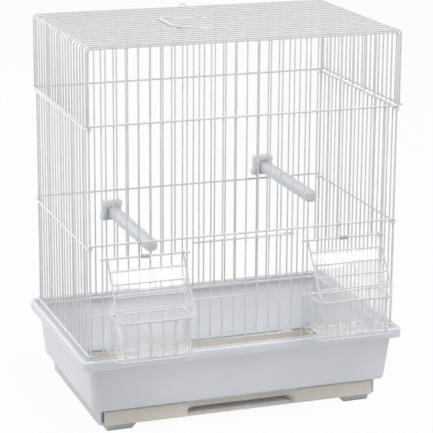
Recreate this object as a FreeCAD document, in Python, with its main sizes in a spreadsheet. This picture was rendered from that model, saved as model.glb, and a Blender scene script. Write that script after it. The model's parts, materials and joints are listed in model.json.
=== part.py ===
import FreeCAD, Part
import math
import os
from types import SimpleNamespace

import Sketcher
from FreeCAD import Placement, Rotation, Vector

# Bird cage of welded wire on a moulded tub with a slide-out drawer. Millimetres, +Z up,
# the front towards -Y, the origin on the floor under the middle of the whole object.

doc = FreeCAD.newDocument("bird_cage")

# Driving dimensions: name, value in millimetres (or a plain count), what it measures
SIZES = [
    ("panel_pitch", 12.7, "upright to upright on the front and back panels"),
    ("panel_spaces", 26, "spaces across the front and back panels"),
    ("side_pitch", 10.7, "wire to wire along the depth"),
    ("side_spaces", 19, "spaces along the depth"),
    ("upright_dia", 1.6, "thin wire of uprights, baskets and feeder flaps"),
    ("rail_dia", 2.0, "horizontal wires of the panels"),
    ("post_dia", 2.2, "corner posts and top wires of the panels"),
    ("hoop_dia", 1.8, "bent roof wires, their legs and the stays"),
    ("handle_dia", 2.4, "wire of the carrying handle"),
    ("spring_dia", 1.0, "wire of the flap springs"),
    ("weld_sink", 0.05, "depth by which welded wires sink into each other"),
    ("rest_gap", 0.3, "gap between pieces that rest on each other"),
    ("running_gap", 0.08, "radial play of an eye on its hinge wire"),
    ("foot_height", 7.0, "height of the feet"),
    ("foot_length", 36.0, "length of a foot along the front"),
    ("foot_depth", 22.0, "depth of a foot"),
    ("foot_slope", 6.0, "slope on the ends of a foot"),
    ("foot_inset", 5.5, "foot's outer end inside the plinth's side"),
    ("foot_front_inset", 1.0, "front feet behind the plinth's front"),
    ("foot_back_inset", 18.0, "back feet in front of the plinth's back"),
    ("plinth_height", 17.0, "height of the drawer housing"),
    ("plinth_inset", 11.0, "plinth's side inside the wire panel's line"),
    ("plinth_wall", 3.0, "side walls of the plinth"),
    ("runner_width", 30.0, "shelf round the plinth's floor that carries the drawer"),
    ("runner_plate", 2.4, "thickness of that shelf"),
    ("tub_height", 58.5, "tub from the plinth's top to the ledge under the wires"),
    ("tub_flare", 2.5, "tub's outer face outside the wire line, at the top"),
    ("tub_draw_in", 3.0, "tub's outer face inside the wire line, at the bottom"),
    ("tub_wall", 2.4, "wall of the tub"),
    ("tub_corner", 6.5, "corner radius of the tub"),
    ("tub_edge", 4.0, "rounding of the tub's bottom edge"),
    ("floor_shelf", 14.0, "width of the tub's floor shelf round the drawer's opening"),
    ("rim_overhang", 10.0, "rim's outer edge outside the wire line"),
    ("rim_lip", 2.0, "rise of the rim above the ledge"),
    ("rim_lip_width", 4.5, "width of the raised rim"),
    ("rim_plate", 2.2, "thickness of the ledge"),
    ("rim_skirt", 10.5, "depth of the rim's outer skirt"),
    ("rim_edge", 1.1, "rounding of the rim's outer edges"),
    ("ledge_inside", 4.0, "ledge inside the wire line"),
    ("shoulder_height", 242.2, "shoulder rails above the ledge"),
    ("middle_height", 120.5, "middle rails above the ledge"),
    ("sill_height", 47.2, "sill rails of the feeder ports above the ledge"),
    ("header_height", 105.8, "hinge wires of the feeder flaps above the ledge"),
    ("roof_height", 320.9, "roof wires above the ledge"),
    ("side_drop", 3.4, "side rails below the front rails"),
    ("roof_bend", 5.0, "bend radius of the roof wires, on the centre line"),
    ("panel_bend", 4.0, "bend radius of the panels' top corners"),
    ("rail_tail", 1.5, "wire end past its last weld"),
    ("hook_tail", 3.0, "straight end of a side rail's hook"),
    ("stay_offset", 11, "spaces from the middle to the outer stays"),
    ("handle_reach", 52.0, "handle from its hinge to its grip"),
    ("handle_half_gap", 3, "wire spaces from the middle to a handle leg"),
    ("handle_bend", 14.0, "bend radius of the handle's grip"),
    ("loop_width", 7.0, "width of the loop on the back panel"),
    ("loop_rise", 3.2, "rise of that loop above the roof wires"),
    ("loop_drop", 14.0, "legs of that loop below the roof wires"),
    ("loop_bend", 3.2, "bend radius of that loop"),
    ("door_half_spaces", 4, "spaces from the middle to a door post"),
    ("door_sill", 9.1, "door's bottom rail above the ledge"),
    ("door_height", 105.8, "door's bottom rail to its top rail"),
    ("door_dia", 1.8, "wire of the door's rails"),
    ("door_overlap", 6.0, "door's rails past the latch post"),
    ("hairpin_return", 9.0, "inner leg of the door's hinge hairpins"),
    ("latch_low", 45.4, "latch loop's lower leg above the door's bottom rail"),
    ("latch_gap", 14.0, "latch loop's lower to upper leg"),
    ("latch_reach", 6.5, "latch loop past the latch post"),
    ("latch_spaces", 4, "door spaces that the latch loop's legs cross"),
    ("latch_bend", 1.5, "bend radius of the latch loop"),
    ("latch_snap", 3.1, "inward bend of the latch loop beside the post"),
    ("feeder_first_space", 1, "upright at the outer edge of a feeder port"),
    ("feeder_spaces", 7, "spaces across a feeder port"),
    ("feeder_width", 80.0, "basket and flap, on the centre lines of their side wires"),
    ("basket_depth", 41.0, "basket's front wires in front of the wire panel"),
    ("basket_floor", 9.0, "basket's bottom wires above the ledge"),
    ("basket_bend", 5.0, "bend radius of the basket's corners"),
    ("basket_bars", 6, "front bars of a basket"),
    ("flap_bend", 6.0, "bend radius of the flap's lower corners"),
    ("flap_rows", 4, "cross wires of a flap above its bottom wire"),
    ("flap_seat_angle", 37.0, "slope in degrees at which a flap seats on the basket's front wire"),
    ("spring_turns", 6, "turns of a flap spring"),
    ("spring_pitch", 1.55, "turn to turn of a flap spring"),
    ("spring_arm", 40.0, "arm of a flap spring along the flap"),
    ("spring_hook", 3.0, "end of the spring behind the middle rail"),
    ("cup_wall", 1.6, "wall of a feeder cup"),
    ("cup_clear", 0.8, "cup's outside to the wires round it"),
    ("hood_clear", 1.2, "cup's hood to the flap's wires"),
    ("cup_back", 28.0, "height of the cup's inner wall, which keeps the seed in"),
    ("cup_head_gap", 11.0, "hood's top below the flap's hinge wire"),
    ("cup_corner", 4.0, "rounding of the cup's upright edges"),
    ("drawer_wall", 2.0, "walls and floor of the drawer tray"),
    ("drawer_front", 23.0, "thickness of the drawer's front"),
    ("drawer_play", 2.0, "drawer's side play in the plinth"),
    ("drawer_travel_gap", 1.2, "drawer's top edge below the tub's floor"),
    ("drawer_corner", 6.0, "corner radius of the drawer"),
    ("drawer_edge", 1.0, "rounding round the drawer's front"),
    ("drawer_set_back", 7.0, "drawer's front behind the wire panel's line"),
    ("grip_length", 121.0, "length of the finger recess in the drawer's front"),
    ("grip_ramp", 10.0, "slope at the ends of the finger recess"),
    ("grip_depth", 20.0, "depth of the finger recess"),
    ("grip_lip", 1.6, "lip that the drawer's front keeps under the finger recess"),
    ("grip_bar", 7.5, "height of the pull bar above the recess"),
    ("grip_bar_ramp", 8.0, "slope at the ends of the pull bar"),
    ("grip_set_back", 5.0, "pull bar behind the drawer's front"),
    ("perch_width", 13.0, "perch from side to side"),
    ("perch_thickness", 12.4, "perch from top to bottom"),
    ("perch_corner", 4.2, "rounding of the perch's long edges"),
    ("perch_length", 140.0, "perch from its clip to its free end"),
    ("perch_round", 3.0, "rounding of the perch's free end"),
    ("perch_left_space", 6.5, "left perch, in wire spaces left of the middle"),
    ("perch_right_space", 7.5, "right perch, in wire spaces right of the middle"),
    ("perch_left_height", 98.0, "left perch above the ledge"),
    ("perch_right_height", 136.0, "right perch above the ledge"),
    ("clip_width", 22.0, "perch clip's plate"),
    ("clip_shift", 2.0, "plate's middle to the left of the perch's middle"),
    ("clip_rise", 2.2, "plate's middle above the perch's middle"),
    ("clip_plate", 6.5, "thickness of the perch clip's plate"),
    ("clip_corner", 2.5, "rounded corners of the perch clip's plate"),
    ("clip_neck", 8.0, "perch clip's neck between two uprights"),
    ("clip_bar", 31.0, "perch clip's lock bar behind the uprights"),
    ("clip_bar_height", 9.0, "width of that lock bar"),
    ("clip_bar_plate", 3.0, "thickness of that lock bar"),
    ("clip_bar_angle", 39.5, "turn in degrees of that lock bar when it is locked"),
    ("clip_height", 22.0, "height of the perch clip's plate"),
    ("clip_recess", 2.0, "depth of the recess in the perch clip's front"),
    ("clip_recess_edge", 2.0, "wall round that recess"),
]

sheet = doc.addObject("Spreadsheet::Sheet", "Sizes")
for row, (alias, number, meaning) in enumerate(SIZES, start=1):
    sheet.set(f"A{row}", str(number))
    sheet.setAlias(f"A{row}", alias)
    sheet.set(f"B{row}", meaning)
doc.recompute()
S = SimpleNamespace(**{alias: float(sheet.get(alias)) for alias, _, _ in SIZES})

# Wire radii
upright_r = S.upright_dia / 2
rail_r = S.rail_dia / 2
post_r = S.post_dia / 2
hoop_r = S.hoop_dia / 2
door_r = S.door_dia / 2
spring_r = S.spring_dia / 2

# Wire lines of the panels and the levels, from the floor up
half_width = S.panel_pitch * S.panel_spaces / 2
half_depth = S.side_pitch * S.side_spaces / 2
plinth_top = S.foot_height + S.plinth_height
ledge = plinth_top + S.tub_height
rim_top = ledge + S.rim_lip
bottom_rail_z = ledge + rail_r + S.rest_gap
shoulder_z = ledge + S.shoulder_height
middle_z = ledge + S.middle_height
sill_z = ledge + S.sill_height
header_z = ledge + S.header_height
roof_z = ledge + S.roof_height
top_wire_z = roof_z - hoop_r - post_r - S.rest_gap

# Wires welded to the outside of the uprights, and posts whose outer sides line up with them
rail_step = upright_r + rail_r - S.weld_sink
rail_y = half_depth + rail_step
post_y = half_depth - (post_r - upright_r)

# Feeder flap: from its hinge wire out and down to the front of the basket
basket_y = half_depth + S.basket_depth
basket_low_z = ledge + S.basket_floor
basket_top_z = sill_z + rail_r + upright_r - S.weld_sink
flap_seat = S.upright_dia + S.rest_gap
flap_low_y = basket_y + flap_seat * math.cos(math.radians(S.flap_seat_angle))
flap_low_z = basket_top_z + flap_seat * math.sin(math.radians(S.flap_seat_angle))
flap_length = math.hypot(flap_low_y - rail_y, header_z - flap_low_z)
flap_angle = math.atan2(flap_low_y - rail_y, header_z - flap_low_z)

# The whole object is centred on the origin between the flaps in front and the rim at the back
front_reach = flap_low_y + upright_r
back_reach = half_depth + S.rim_overhang
centre_y = (front_reach - back_reach) / 2
HOME = Placement(Vector(0, centre_y, 0), Rotation())

nodes = []


def keep(item, label):
    """Names an object as one of the cage's pieces and puts it in its place."""
    item.Label = label
    item.Placement = HOME
    nodes.append(item)
    return item


def rod(start, end, dia, length=None):
    """Straight wire from start to end; dia and length are sheet expressions."""
    item = doc.addObject("Part::Cylinder", "Wire")
    item.setExpression("Radius", f"Sizes.{dia} / 2")
    item.Height = (end - start).Length
    if length:
        item.setExpression("Height", length)
    item.Placement = Placement(start, Rotation(Vector(0, 0, 1), end - start))
    return item


def group(label, wires):
    """Keeps a set of wires as one piece."""
    item = doc.addObject("Part::Compound", label)
    item.Links = wires
    return keep(item, label)


def bend_path(points, radius):
    """Path of straight runs through the points, its corners rounded to the radius."""
    edges = []
    last = points[0]
    for before, corner, after in zip(points, points[1:], points[2:]):
        back = (before - corner).normalize()
        ahead = (after - corner).normalize()
        half = back.getAngle(ahead) / 2
        reach = radius / math.tan(half)
        middle = (back + ahead).normalize()
        enter = corner + back * reach
        leave = corner + ahead * reach
        apex = corner + middle * (radius / math.sin(half) - radius)
        if (enter - last).Length > 1e-6:
            edges.append(Part.LineSegment(last, enter).toShape())
        edges.append(Part.Arc(enter, apex, leave).toShape())
        last = leave
    if (points[-1] - last).Length > 1e-6:
        edges.append(Part.LineSegment(last, points[-1]).toShape())
    return Part.Wire(edges)


def sweep(path, dia):
    """Round wire along a path."""
    first = path.OrderedEdges[0]
    start = first.valueAt(first.FirstParameter)
    along = first.tangentAt(first.FirstParameter)
    pipe = Part.BRepOffsetAPI.MakePipeShell(path)
    pipe.add(Part.Wire(Part.makeCircle(dia / 2, start, along)))
    pipe.build()
    pipe.makeSolid()
    return pipe.shape()


def bent(points, radius, dia):
    """Bent round wire through the points."""
    return sweep(bend_path([Vector(*p) for p in points], radius), dia)


def bent_node(label, solids):
    """Keeps bent wires as one piece."""
    item = doc.addObject("Part::Feature", label)
    item.Shape = solids[0] if len(solids) == 1 else Part.makeCompound(solids)
    return keep(item, label)


def plane_of(body, role):
    """One of a body's own origin planes."""
    return next(f for f in body.Origin.OriginFeatures if f.Role == role)


def new_sketch(body, name, role, offset="0"):
    """Empty sketch on one of the body's origin planes, moved along its normal."""
    sketch = body.newObject("Sketcher::SketchObject", name)
    sketch.AttachmentSupport = [(plane_of(body, role), "")]
    sketch.MapMode = "FlatFace"
    sketch.setExpression("AttachmentOffset.Base.z", offset)
    return sketch


def bind(sketch, index, name, expression):
    """Names a constraint and ties it to the sheet."""
    sketch.renameConstraint(index, name)
    sketch.setExpression(f"Constraints.{name}", expression)


def value(size):
    """A size as a number, whether it is given as one or as a sheet expression."""
    return float(sheet.evalExpression(size)) if isinstance(size, str) else size


def rounded_rectangle(body, name, width, depth, radius, height, low_y=None):
    """Rounded rectangle across the Z axis; low_y is its front edge where it isn't centred."""
    sketch = new_sketch(body, name, "XY_Plane", height)
    w = value(width) / 2
    d = value(depth) / 2
    r = value(radius)
    shift = 0.0 if low_y is None else value(low_y) + d
    normal = Vector(0, 0, 1)

    def line(x0, y0, x1, y1):
        return Part.LineSegment(Vector(x0, y0 + shift, 0), Vector(x1, y1 + shift, 0))

    def arc(x, y, quarter):
        circle = Part.Circle(Vector(x, y + shift, 0), normal, r)
        return Part.ArcOfCircle(circle, quarter * math.pi / 2, (quarter + 1) * math.pi / 2)

    sketch.addGeometry([
        line(r - w, -d, w - r, -d), arc(w - r, r - d, 3), line(w, r - d, w, d - r), arc(w - r, d - r, 0),
        line(w - r, d, r - w, d), arc(r - w, d - r, 1), line(-w, d - r, -w, r - d), arc(r - w, r - d, 2),
    ], False)
    for i in range(8):
        sketch.addConstraint(Sketcher.Constraint("Tangent", i, 2, (i + 1) % 8, 1))
    sketch.addConstraint(Sketcher.Constraint("Horizontal", 4))
    sketch.addConstraint(Sketcher.Constraint("Vertical", 6))
    for i in (1, 3, 5):
        sketch.addConstraint(Sketcher.Constraint("Equal", i, i + 2))
    radius_at = sketch.addConstraint(Sketcher.Constraint("Radius", 1, r))
    width_at = sketch.addConstraint(Sketcher.Constraint("DistanceX", 6, 1, 2, 1, 2 * w))
    depth_at = sketch.addConstraint(Sketcher.Constraint("DistanceY", 0, 1, 4, 1, 2 * d))
    sketch.addConstraint(Sketcher.Constraint("Symmetric", 0, 1, 0, 2, -2))
    bind(sketch, radius_at, "radius", radius)
    bind(sketch, width_at, "width", width)
    bind(sketch, depth_at, "depth", depth)
    if low_y is None:
        sketch.addConstraint(Sketcher.Constraint("Symmetric", 2, 1, 2, 2, -1))
    else:
        sketch.addConstraint(Sketcher.Constraint("Vertical", 2))
        low_at = sketch.addConstraint(Sketcher.Constraint("DistanceY", -1, 1, 0, 1, shift - d))
        bind(sketch, low_at, "front", low_y)
    return sketch


def polygon(body, name, role, points, offset="0"):
    """Closed outline of straight edges; a corner given in words is tied to the sheet."""
    sketch = new_sketch(body, name, role, offset)
    flat = [Vector(value(u), value(v), 0) for u, v in points]
    count = len(flat)
    sketch.addGeometry([Part.LineSegment(flat[i], flat[(i + 1) % count]) for i in range(count)], False)
    for i in range(count):
        sketch.addConstraint(Sketcher.Constraint("Coincident", i, 2, (i + 1) % count, 1))
    for i, (u, v) in enumerate(points):
        u_at = sketch.addConstraint(Sketcher.Constraint("DistanceX", -1, 1, i, 1, flat[i].x))
        v_at = sketch.addConstraint(Sketcher.Constraint("DistanceY", -1, 1, i, 1, flat[i].y))
        if isinstance(u, str):
            bind(sketch, u_at, f"u{i}", u)
        if isinstance(v, str):
            bind(sketch, v_at, f"v{i}", v)
    return sketch


def pad(body, name, sketch, length, symmetric=False, reverse=False):
    """Pad of a sketch."""
    feature = body.newObject("PartDesign::Pad", name)
    feature.Profile = sketch
    feature.setExpression("Length", length)
    if symmetric:
        feature.SideType = "Symmetric"
    feature.Reversed = reverse
    doc.recompute()
    return feature


def pocket(body, name, sketch, depth, symmetric=False, reverse=False):
    """Pocket of a sketch, which has to take some of the body away."""
    before = body.Shape.Volume
    feature = body.newObject("PartDesign::Pocket", name)
    feature.Profile = sketch
    feature.setExpression("Length", depth)
    if symmetric:
        feature.SideType = "Symmetric"
    feature.Reversed = reverse
    doc.recompute()
    if body.Shape.Volume >= before:
        raise RuntimeError(f"{name} cuts nothing")
    return feature


def loft(body, kind, name, low, high):
    """Loft between two sketches, added to the body or taken from it."""
    feature = body.newObject(f"PartDesign::{kind}Loft", name)
    feature.Profile = low
    feature.Sections = [high]
    feature.Ruled = True
    doc.recompute()
    return feature


def fillet(body, name, base, edges, radius):
    """Rounds some edges of a feature."""
    feature = body.newObject("PartDesign::Fillet", name)
    feature.Base = (base, edges)
    feature.setExpression("Radius", radius)
    doc.recompute()
    return feature


def edges_where(shape, test):
    """Names of the edges whose centre passes a test."""
    return [f"Edge{i}" for i, edge in enumerate(shape.Edges, start=1) if test(edge)]


def upright_x(space):
    """Place of an upright, counted in spaces from the left."""
    return (space - S.panel_spaces / 2) * S.panel_pitch


def side_y(space):
    """Place of a side wire, counted in spaces from the front."""
    return (space - S.side_spaces / 2) * S.side_pitch


# Moulded tub: rim with a skirt, flared walls, ledge for the wires, plinth and feet
PLINTH = "(Sizes.foot_height + Sizes.plinth_height)"
LEDGE = "(Sizes.foot_height + Sizes.plinth_height + Sizes.tub_height)"
WIDTH = "Sizes.panel_pitch * Sizes.panel_spaces"
DEPTH = "Sizes.side_pitch * Sizes.side_spaces"


def ring(body, name, step, radius, height):
    """Rounded rectangle at a step outside the wire lines."""
    return rounded_rectangle(body, name, f"{WIDTH} + 2 * ({step})", f"{DEPTH} + 2 * ({step})", radius, height)


def make_tub():
    """Tub, rim, plinth and feet, moulded in one."""
    body = doc.addObject("PartDesign::Body", "base_tub")
    skirt_low = f"{LEDGE} + Sizes.rim_lip - Sizes.rim_skirt"
    under = f"{LEDGE} - Sizes.rim_plate"

    outline = ring(body, "rim_outline", "Sizes.rim_overhang", "Sizes.tub_corner", skirt_low)
    rim = pad(body, "rim", outline, "Sizes.rim_skirt")
    level = edges_where(rim.Shape, lambda e: e.BoundBox.ZLength < 1e-3)
    fillet(body, "rim_rounding", rim, level, "Sizes.rim_edge")
    hollow = ring(body, "skirt_hollow", "Sizes.rim_overhang - Sizes.tub_wall",
                  "Sizes.tub_corner - Sizes.tub_wall", skirt_low)
    pocket(body, "skirt", hollow, "Sizes.rim_skirt - Sizes.rim_plate - Sizes.rim_lip", reverse=True)

    low = ring(body, "tub_low", "-Sizes.tub_draw_in", "Sizes.tub_corner", PLINTH)
    high = ring(body, "tub_high", "Sizes.tub_flare", "Sizes.tub_corner", under)
    walls = loft(body, "Additive", "tub_walls", low, high)
    bottom = edges_where(walls.Shape, lambda e: e.BoundBox.ZMax < plinth_top + 1e-3)
    fillet(body, "tub_rounding", walls, bottom, "Sizes.tub_edge")

    lip = ring(body, "ledge_outline", "Sizes.rim_overhang - Sizes.rim_lip_width",
               "Sizes.tub_corner - Sizes.rim_lip_width", f"{LEDGE} + Sizes.rim_lip")
    pocket(body, "ledge", lip, "Sizes.rim_lip")
    mouth = ring(body, "mouth_outline", "-Sizes.ledge_inside", "Sizes.tub_corner / 2", LEDGE)
    pocket(body, "mouth", mouth, "Sizes.rim_plate")
    inside = "Sizes.tub_corner - Sizes.tub_wall"
    floor = ring(body, "inside_low", "-Sizes.tub_draw_in - Sizes.tub_wall", inside,
                 f"{PLINTH} + Sizes.tub_wall")
    brim = ring(body, "inside_high", "Sizes.tub_flare - Sizes.tub_wall", inside, under)
    loft(body, "Subtractive", "tub_inside", floor, brim)

    block = ring(body, "plinth_outline", "-Sizes.plinth_inset", "Sizes.tub_corner / 2", "Sizes.foot_height")
    pad(body, "plinth", block, "Sizes.plinth_height")
    bay_width = f"{WIDTH} - 2 * Sizes.plinth_inset - 2 * Sizes.plinth_wall"
    bay_depth = f"{DEPTH} - 2 * Sizes.plinth_inset"
    bay = rounded_rectangle(body, "bay_outline", bay_width, bay_depth, "Sizes.plinth_wall", PLINTH,
                            low_y=f"Sizes.plinth_inset - Sizes.plinth_wall - ({DEPTH}) / 2")
    pocket(body, "drawer_bay", bay, "Sizes.plinth_height - Sizes.runner_plate")
    opening = ring(body, "floor_opening_outline", "-Sizes.tub_draw_in - Sizes.floor_shelf",
                   "Sizes.tub_corner / 2", f"{PLINTH} + Sizes.tub_wall")
    pocket(body, "floor_opening", opening, "Sizes.tub_wall")
    under_opening = ring(body, "runner_outline", "-Sizes.plinth_inset - Sizes.runner_width",
                         "Sizes.tub_corner", "Sizes.foot_height + Sizes.runner_plate")
    pocket(body, "runner_opening", under_opening, "Sizes.runner_plate")

    for side, sign in (("left", -1), ("right", 1)):
        for end, depth_sign in (("front", -1), ("back", 1)):
            outer = f"{sign} * ({WIDTH} / 2 - Sizes.plinth_inset - Sizes.foot_inset"
            far = f"({DEPTH} / 2 - Sizes.plinth_inset - Sizes.foot_{end}_inset)"
            near = far if depth_sign < 0 else f"Sizes.foot_depth - {far}"
            foot = polygon(body, f"foot_{end}_{side}_outline", "XZ_Plane", [
                (f"{outer})", "Sizes.foot_height"),
                (f"{outer} - Sizes.foot_slope / 2)", "0"),
                (f"{outer} - Sizes.foot_length + Sizes.foot_slope)", "0"),
                (f"{outer} - Sizes.foot_length)", "Sizes.foot_height"),
            ], offset=near)
            pad(body, f"foot_{end}_{side}", foot, "Sizes.foot_depth", reverse=True)
    return keep(body, "base_tub")


# Drawer: shallow tray behind a front that hides the plinth's edge, with a finger recess under a pull bar
drawer_low_z = S.foot_height + S.runner_plate + S.rest_gap
drawer_front_y = S.drawer_set_back - half_depth


def make_drawer():
    """Drawer tray."""
    body = doc.addObject("PartDesign::Body", "drawer_tray")
    low = "(Sizes.foot_height + Sizes.runner_plate + Sizes.rest_gap)"
    tall = f"({PLINTH} - Sizes.drawer_travel_gap - {low})"
    width = f"({WIDTH} - 2 * (Sizes.plinth_inset + Sizes.plinth_wall + Sizes.drawer_play))"
    front = f"(Sizes.drawer_set_back - {DEPTH} / 2)"
    long = f"({DEPTH} - Sizes.drawer_set_back - Sizes.plinth_inset - Sizes.plinth_wall - Sizes.rest_gap)"
    outline = rounded_rectangle(body, "tray_outline", width, long, "Sizes.drawer_corner", low, low_y=front)
    block = pad(body, "tray", outline, tall)
    bottom = edges_where(block.Shape, lambda e: e.BoundBox.ZMax < drawer_low_z + 1e-3)
    fillet(body, "tray_rounding", block, bottom, "Sizes.drawer_corner / 3")
    inside = rounded_rectangle(body, "inside_outline", f"{width} - 2 * Sizes.drawer_wall",
                               f"{long} - Sizes.drawer_front - Sizes.drawer_wall",
                               "Sizes.drawer_corner - Sizes.drawer_wall",
                               f"{low} + {tall}", low_y=f"{front} + Sizes.drawer_front")
    pocket(body, "tray_inside", inside, f"{tall} - Sizes.drawer_wall")

    top = f"{low} + {tall}"
    thick = "(Sizes.plinth_inset - Sizes.drawer_set_back - Sizes.rest_gap)"
    face = polygon(body, "front_outline", "XZ_Plane", [
        (f"-{width} / 2", "Sizes.foot_height"),
        (f"{width} / 2", "Sizes.foot_height"),
        (f"{width} / 2", top),
        (f"-{width} / 2", top),
    ], offset=f"-({front} + {thick})")
    plate = pad(body, "front", face, thick)
    border = edges_where(plate.Shape, lambda e: e.BoundBox.YMax < drawer_front_y + 1e-3)
    fillet(body, "front_rounding", plate, border, "Sizes.drawer_edge")

    half = "Sizes.grip_length / 2"
    bar_low = f"{top} - Sizes.grip_bar"
    recess_tall = f"{bar_low} - Sizes.foot_height - Sizes.grip_lip"
    for name, depth, ramp, high, cut in (
        ("grip_recess", "Sizes.grip_depth", "Sizes.grip_ramp", bar_low, recess_tall),
        ("grip_front", "Sizes.grip_set_back", "Sizes.grip_bar_ramp", top, "Sizes.grip_bar"),
    ):
        recess = polygon(body, f"{name}_outline", "XY_Plane", [
            (f"-({half})", front),
            (half, front),
            (f"{half} - {ramp}", f"{front} + {depth}"),
            (f"{ramp} - {half}", f"{front} + {depth}"),
        ], offset=high)
        pocket(body, name, recess, cut)
    return keep(body, "drawer_tray")


# Front and back panels: posts, top wire, uprights and rails
TOP_END = "Sizes.roof_height - Sizes.hoop_dia / 2 - Sizes.post_dia - Sizes.rest_gap + Sizes.weld_sink"
middle_space = S.panel_spaces / 2
feeder_spaces = range(int(S.feeder_first_space) + 1, int(S.feeder_first_space + S.feeder_spaces))
door_spaces = range(int(middle_space - S.door_half_spaces) + 1, int(middle_space + S.door_half_spaces))


def upright(x, y, low="0", high=TOP_END):
    """Upright wire; low and high are heights above the ledge."""
    foot = Vector(x, y, ledge + value(low))
    head = Vector(x, y, ledge + value(high))
    return rod(foot, head, "upright_dia", f"({high}) - ({low})")


def cross_rail(y, z, low_x=None, high_x=None):
    """Rail along the width, right across the panel unless its ends are given."""
    if low_x is None:
        reach = half_width + post_r
        return rod(Vector(-reach, y, z), Vector(reach, y, z), "rail_dia", f"{WIDTH} + Sizes.post_dia")
    return rod(Vector(low_x, y, z), Vector(high_x, y, z), "rail_dia")


def make_panel(name, side):
    """Posts and top wire of a panel; side is -1 in front and 1 at the back."""
    y = side * post_y
    bend_z = top_wire_z - S.panel_bend
    length = f"{TOP_END} + Sizes.post_dia / 2 - Sizes.weld_sink - Sizes.panel_bend"
    posts = [rod(Vector(x, y, ledge), Vector(x, y, bend_z), "post_dia", length)
             for x in (-half_width, half_width)]
    group(f"{name}_posts", posts)
    top = [(-half_width, y, bend_z), (-half_width, y, top_wire_z),
           (half_width, y, top_wire_z), (half_width, y, bend_z)]
    bent_node(f"{name}_top_wire", [bent(top, S.panel_bend, S.post_dia)])


def make_front():
    """Front panel with its door opening and feeder ports."""
    make_panel("front", -1)
    wires = []
    for space in range(1, int(S.panel_spaces)):
        x = upright_x(space)
        mirrored = int(S.panel_spaces) - space
        if space in feeder_spaces or mirrored in feeder_spaces:
            wires.append(upright(x, -half_depth, "Sizes.header_height - Sizes.rail_tail"))
            wires.append(upright(x, -half_depth, "0", "Sizes.sill_height + Sizes.rail_tail"))
        elif space in door_spaces:
            wires.append(upright(x, -half_depth, "Sizes.middle_height - Sizes.rail_tail"))
        else:
            wires.append(upright(x, -half_depth))
    group("front_uprights", wires)
    rails = [cross_rail(-rail_y, z) for z in (shoulder_z, middle_z, bottom_rail_z)]
    inner = upright_x(S.feeder_first_space + S.feeder_spaces) + S.rail_tail
    reach = half_width + post_r
    rails.append(cross_rail(-rail_y, sill_z, -reach, inner))
    rails.append(cross_rail(-rail_y, sill_z, -inner, reach))
    group("front_rails", rails)


def make_back():
    """Plain back panel."""
    make_panel("back", 1)
    spaces = range(1, int(S.panel_spaces))
    group("back_uprights", [upright(upright_x(space), half_depth) for space in spaces])
    group("back_rails", [cross_rail(rail_y, z) for z in (shoulder_z, middle_z, bottom_rail_z)])


# Side panels: uprights inside rails whose ends hook round the corner posts
hook_r = post_r + rail_r + S.weld_sink
side_rail_x = half_width + hook_r
side_upright_x = side_rail_x - rail_r - upright_r + S.weld_sink
side_rail_levels = (shoulder_z - S.side_drop, middle_z - S.side_drop, bottom_rail_z + S.side_drop)


def make_side(name, side):
    """One side panel; side is -1 on the left and 1 on the right."""
    high = "Sizes.shoulder_height - Sizes.side_drop + Sizes.rail_tail"
    spaces = range(1, int(S.side_spaces))
    x = side * side_upright_x
    group(f"{name}_side_uprights", [upright(x, side_y(space), "0", high) for space in spaces])
    outer = side * side_rail_x
    inner = side * (half_width - hook_r)
    end = post_y + hook_r
    tail = post_y - S.hook_tail
    rails = []
    for z in side_rail_levels:
        path = [(inner, -tail, z), (inner, -end, z), (outer, -end, z),
                (outer, end, z), (inner, end, z), (inner, tail, z)]
        rails.append(bent(path, hook_r, S.rail_dia))
    bent_node(f"{name}_side_rails", rails)


# Roof cap: bent wires over the top, legs down to the hems, stays under the roof
leg_x = half_width + post_r + hoop_r + S.rest_gap
hem_x = leg_x + hoop_r + rail_r - S.weld_sink
hem_z = shoulder_z + rail_r
stay_z = roof_z - S.hoop_dia + S.weld_sink


def make_cap():
    """Roof wires, their legs, the hems and the stays."""
    bend_z = roof_z - S.roof_bend
    spaces = range(int(S.side_spaces) + 1)
    over = []
    for space in spaces:
        y = side_y(space)
        path = [(-leg_x, y, bend_z), (-leg_x, y, roof_z), (leg_x, y, roof_z), (leg_x, y, bend_z)]
        over.append(bent(path, S.roof_bend, S.hoop_dia))
    bent_node("roof_wires", over)
    low_z = hem_z - S.rail_tail
    hem = "(Sizes.shoulder_height + Sizes.rail_dia / 2)"
    length = f"Sizes.roof_height - Sizes.roof_bend - {hem} + Sizes.rail_tail"
    end = half_depth + hoop_r + S.rail_tail
    for name, side in (("left", -1), ("right", 1)):
        x = side * leg_x
        legs = [rod(Vector(x, side_y(space), low_z), Vector(x, side_y(space), bend_z), "hoop_dia", length)
                for space in spaces]
        group(f"cap_{name}_legs", legs)
        hem = rod(Vector(side * hem_x, -end, hem_z), Vector(side * hem_x, end, hem_z), "rail_dia",
                  f"{DEPTH} + Sizes.hoop_dia + 2 * Sizes.rail_tail")
        keep_rod(hem, f"cap_{name}_hem")
    stay_end = post_y - post_r - S.rest_gap
    stays = [rod(Vector(x, -stay_end, stay_z), Vector(x, stay_end, stay_z), "hoop_dia")
             for x in (-S.stay_offset * S.panel_pitch, 0, S.stay_offset * S.panel_pitch)]
    group("roof_stays", stays)


def keep_rod(wire, label):
    """Keeps a single straight wire as one piece, moved to its place."""
    place = HOME.multiply(wire.Placement)
    keep(wire, label)
    wire.Placement = place


# Carrying handle: a bail whose eyes turn on the middle stay, folded flat to the left
handle_r = S.handle_dia / 2
handle_eye_r = hoop_r + S.running_gap + handle_r
handle_grip_z = roof_z + hoop_r + S.rest_gap + handle_r
handle_leg_y = -side_y(round((S.side_spaces - 1) / 2 - S.handle_half_gap) + 0.5)


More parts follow.
